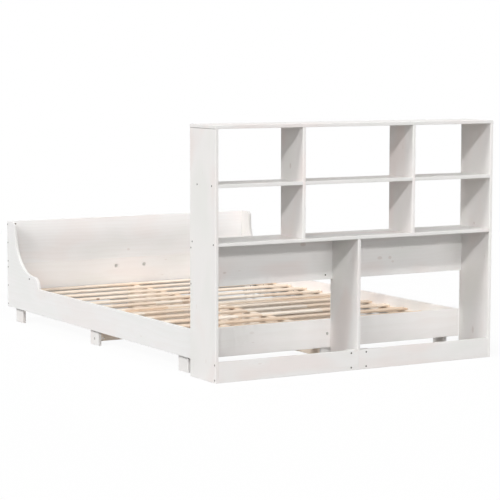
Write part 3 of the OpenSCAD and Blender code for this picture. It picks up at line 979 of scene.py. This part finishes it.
@dataclass
class SlatBase:
    """The bare pine slats and what carries them.

    The slats nearest the bookcase are mostly tan, and the far ones are more even than the rest.
    """

    slats: tuple[str, ...] = tuple(f"slat_{number:02d}" for number in range(1, 14))
    along: tuple[str, ...] = ("centre_beam", "ledger_left", "ledger_right")
    across: tuple[str, ...] = ("cross_beam",)
    dowels: str = "divider_dowels"
    tan_count: int = 3
    even_count: int = 5
    tan_first: float = 0.8
    tan_joints: Joints = ((-0.30, 0.9), (0.02, 0.75), (0.44, 0.95))
    even_first: float = 0.45
    even_joints: Joints = ((-0.46, 0.35), (-0.17, 0.55), (0.08, 0.3), (0.47, 0.5))
    even_play: float = 0.12
    first_board: int = 41
    edges: EasedEdges = EasedEdges()
    pieces: dict[str, bpy.types.Object] = field(default_factory=dict)

    def build(self) -> None:
        """Models the boards over the frame's sharp-edged ones. The round dowels stay."""
        for name in (*self.slats, *self.along, *self.across):
            self.pieces[name] = self.edges.copy_of(name, f"eased_{name}", "natural_pine")
        self.pieces[self.dowels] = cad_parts[self.dowels]

    def dress(self) -> None:
        """Finishes the pine, each piece with its own figure and glued lengths."""
        groups = ((self.slats, Lie.FLAT_ACROSS), (self.along, Lie.ON_EDGE_ALONG),
                  (self.across, Lie.ON_EDGE_ACROSS), ((self.dowels,), Lie.UPRIGHT_FACING_SIDE))
        board = self.first_board
        for names, lie in groups:
            for name in names:
                dress(self.pieces[name], self._finish(name, lie, board))
                board += 1

    def _finish(self, name: str, lie: Lie, board: int) -> BarePine:
        """Chooses the lengths that a piece is glued up from.

        Args:
            name: The CAD node.
            lie: How the piece lies.
            board: Number that gives the piece its own figure.

        Returns:
            The piece's finish.
        """
        if name in self.slats[:self.tan_count]:
            return BarePine(lie, board, self.tan_first, self.tan_joints)
        if name in self.slats[-self.even_count:]:
            return BarePine(lie, board, self.even_first, self.even_joints, tan_play=self.even_play)
        return BarePine(lie, board)


@dataclass
class Hardware:
    """The screws, bolts and nuts, by the ends of their names."""

    screws: str = "_screws"
    bolts_and_nuts: tuple[str, ...] = ("_bolts", "_nuts")
    plated: dict[str, PlatedSteel] = field(default_factory=dict)

    def build(self) -> None:
        """Sorts the fasteners, whose shapes are the frame's own, by their plating."""
        for name in sorted(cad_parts):
            if name.endswith(self.screws):
                self.plated[name] = DARK_STEEL
            elif name.endswith(self.bolts_and_nuts):
                self.plated[name] = BRIGHT_ZINC

    def dress(self) -> None:
        """Plates every group of fasteners."""
        for name, plating in self.plated.items():
            dress(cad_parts[name], plating)


@dataclass
class PhotoCamera:
    """The camera at the photograph's viewing angle. Places are in metres and angles in degrees."""

    place: Place = (-4.6315, -8.0840, 1.3876)
    heading: float = 30.375
    tilt: float = 5.837
    roll: float = 0.093
    lens_mm: float = 136.05
    sensor_mm: float = 36.0

    def build(self) -> None:
        """Makes the camera and hands it to the scene."""
        data = bpy.data.cameras.new("photo_camera")
        data.lens = self.lens_mm
        data.sensor_width = self.sensor_mm
        camera = bpy.data.objects.new("photo_camera", data)
        camera.location = self.place
        aim = Euler((math.radians(90 - self.tilt), 0, math.radians(-self.heading))).to_quaternion()
        camera.rotation_mode = "QUATERNION"
        camera.rotation_quaternion = aim @ Euler((0, 0, math.radians(self.roll))).to_quaternion()
        bpy.context.scene.collection.objects.link(camera)
        bpy.context.scene.camera = camera


@dataclass(frozen=True)
class Lamp:
    """A far lamp with a soft edge. run is the way its light travels, and spread its width in degrees."""

    name: str
    run: Place
    strength: float
    spread: float

    def build(self) -> None:
        """Makes the lamp as a sun."""
        data = bpy.data.lights.new(self.name, "SUN")
        data.energy = self.strength
        data.angle = math.radians(self.spread)
        lamp = bpy.data.objects.new(self.name, data)
        lamp.rotation_mode = "QUATERNION"
        lamp.rotation_quaternion = Vector(self.run).to_track_quat("-Z", "Y")
        bpy.context.scene.collection.objects.link(lamp)


@dataclass(frozen=True)
class WideLamp:
    """A long soft lamp in front of the object, as a row of far lamps at one slope.

    Each far lamp's light travels one metre along the bed, slope metres down and some way across, from
    from_side to to_side.
    """

    name: str
    from_side: float
    to_side: float
    slope: float
    strength: float
    count: int
    spread: float

    def build(self) -> None:
        """Makes the row of lamps."""
        for index in range(self.count):
            side = self.from_side + (self.to_side - self.from_side) * index / (self.count - 1)
            Lamp(f"{self.name}_{index + 1}", (side, 1.0, -self.slope), self.strength / self.count,
                 self.spread).build()


@dataclass
class Studio:
    """A pale floor, an even white room and the lamps. Lengths are in metres.

    The floor fades to white from floor_near to floor_far, measured from the object's middle. From under_from
    to under_to, under the bed and beyond it where the sight lines between the slats land, it has a painted
    shadow in a dark colour and also shows its real shadow.
    """

    room: float = 0.19
    floor_half: float = 60.0
    floor_near: float = 2.2
    floor_far: float = 6.0
    floor_white: float = 0.94
    floor_shown: Colour = display_colour(245, 245, 245)
    floor_bounce: Colour = display_colour(150, 150, 150)
    under_from: tuple[float, float] = (-0.42, -0.2)
    under_to: tuple[float, float] = (1.3, 2.3)
    near_soft: float = 0.12
    far_soft: tuple[float, float] = (0.75, 1.5)
    # Colour of the painted shadow on the floor under the bed.
    under_painted_shadow: Colour = display_colour(112, 92, 74)
    lamps: tuple[Lamp | WideLamp, ...] = (
        WideLamp("high_lamp", from_side=0.35, to_side=1.8, slope=0.83, strength=1.2, count=6, spread=4.0),
        WideLamp("low_lamp", from_side=-0.5, to_side=0.5, slope=0.33, strength=0.97, count=5, spread=4.0),
        Lamp("front_lamp", run=(0.0, 1.0, -0.1), strength=0.35, spread=14.0),
        Lamp("left_lamp", run=(1.0, 0.06, -0.8), strength=1.88, spread=16.0),
        Lamp("top_lamp", run=(0.0, 0.0, -1.0), strength=0.5, spread=60.0),
    )

    def build(self) -> None:
        """Makes the world, the floor and the lamps."""
        self._world()
        self._floor()
        for lamp in self.lamps:
            lamp.build()

    def _world(self) -> None:
        """Lights the room evenly, and shows it white to the camera and in reflections."""
        world = bpy.data.worlds.new("studio")
        world.use_nodes = True
        graph = Graph(world.node_tree)
        strength = graph.remap(self._seen(graph), 0.0, 1.0, self.room, 1.0, smooth=False)
        backdrop = graph.add("Background", Color=WHITE, Strength=strength)
        graph.add("OutputWorld", Surface=backdrop.outputs[0])
        bpy.context.scene.world = world

    @staticmethod
    def _seen(graph: Graph) -> bpy.types.NodeSocket:
        """Returns a socket that is 1 for what the camera sees, also in gloss and through glass."""
        path = graph.add("LightPath")
        seen = graph.math("MAXIMUM", path.outputs["Is Camera Ray"], path.outputs["Is Glossy Ray"])
        return graph.math("MAXIMUM", seen, path.outputs["Is Transmission Ray"])

    def _floor(self) -> None:
        """Lays the floor, which shows some of the object's shadow, has a painted shadow under the bed, and
        fades to white away from it.
        """
        mesh = bpy.data.meshes.new("floor")
        shape = bmesh.new()
        bmesh.ops.create_grid(shape, x_segments=1, y_segments=1, size=self.floor_half)
        shape.to_mesh(mesh)
        shape.free()
        floor = bpy.data.objects.new("floor", mesh)
        bpy.context.scene.collection.objects.link(floor)
        mesh.materials.append(self._floor_material())

    def _floor_material(self) -> bpy.types.Material:
        """Mixes the lit floor, darkened by a painted shadow under the bed, with plain white, as far as the
        camera sees it.

        Returns:
            The floor's material, which throws less light back at the object than the camera sees.
        """
        material = bpy.data.materials.new("floor")
        material.use_nodes = True
        graph = Graph(material.node_tree)
        place = graph.add("TexCoord").outputs["Object"]
        reach = graph.add("VectorMath", {"operation": "LENGTH"}, Vector=place)
        fade = graph.remap(reach.outputs["Value"], self.floor_near, self.floor_far, self.floor_white, 1.0)
        under = self._painted_shadow_mask(graph, place)
        fade = graph.math("MULTIPLY", fade, graph.math("SUBTRACT", 1.0, under))
        # Painted shadow: the floor's shown colour turns dark brown under the bed.
        shown = graph.blend(under, self.floor_shown, self.under_painted_shadow)
        seen = self._seen(graph)
        lit = graph.add("BsdfDiffuse", Color=graph.blend(seen, self.floor_bounce, shown))
        white = graph.add("Emission", Color=WHITE, Strength=1.0)
        mix = graph.add("MixShader", Fac=graph.math("MULTIPLY", seen, fade))
        graph.feed(mix.inputs[1], lit.outputs[0])
        graph.feed(mix.inputs[2], white.outputs[0])
        graph.add("OutputMaterial", Surface=mix.outputs[0])
        return material

    def _painted_shadow_mask(self, graph: Graph, place: bpy.types.NodeSocket) -> bpy.types.NodeSocket:
        """Masks the painted shadow under the bed, where the floor also shows its real shadow.

        Args:
            graph: The floor's graph.
            place: The socket of the place on the floor.

        Returns:
            The socket of a mask that is 1 under the middle of the bed and fades to 0 round it.
        """
        axes = graph.add("SeparateXYZ", Vector=place)
        under = 1.0
        for axis, low, high, soft in zip("XY", self.under_from, self.under_to, self.far_soft):
            across = axes.outputs[axis]
            under = graph.math("MULTIPLY", under, graph.remap(across, low, low + self.near_soft))
            under = graph.math("MULTIPLY", under, graph.remap(across, high, high - soft))
        return under


def main() -> None:
    """Builds the camera, builds and dresses each sub-assembly, and sets up the studio."""
    logging.basicConfig(level=logging.INFO, format="%(message)s")
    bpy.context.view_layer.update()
    bpy.context.scene.view_settings.view_transform = "Standard"
    PhotoCamera().build()
    for part in (Bookcase(), BedSides(), SlatBase(), Hardware()):
        part.build()
        part.dress()
    Studio().build()


if __name__ == "__main__":
    main()
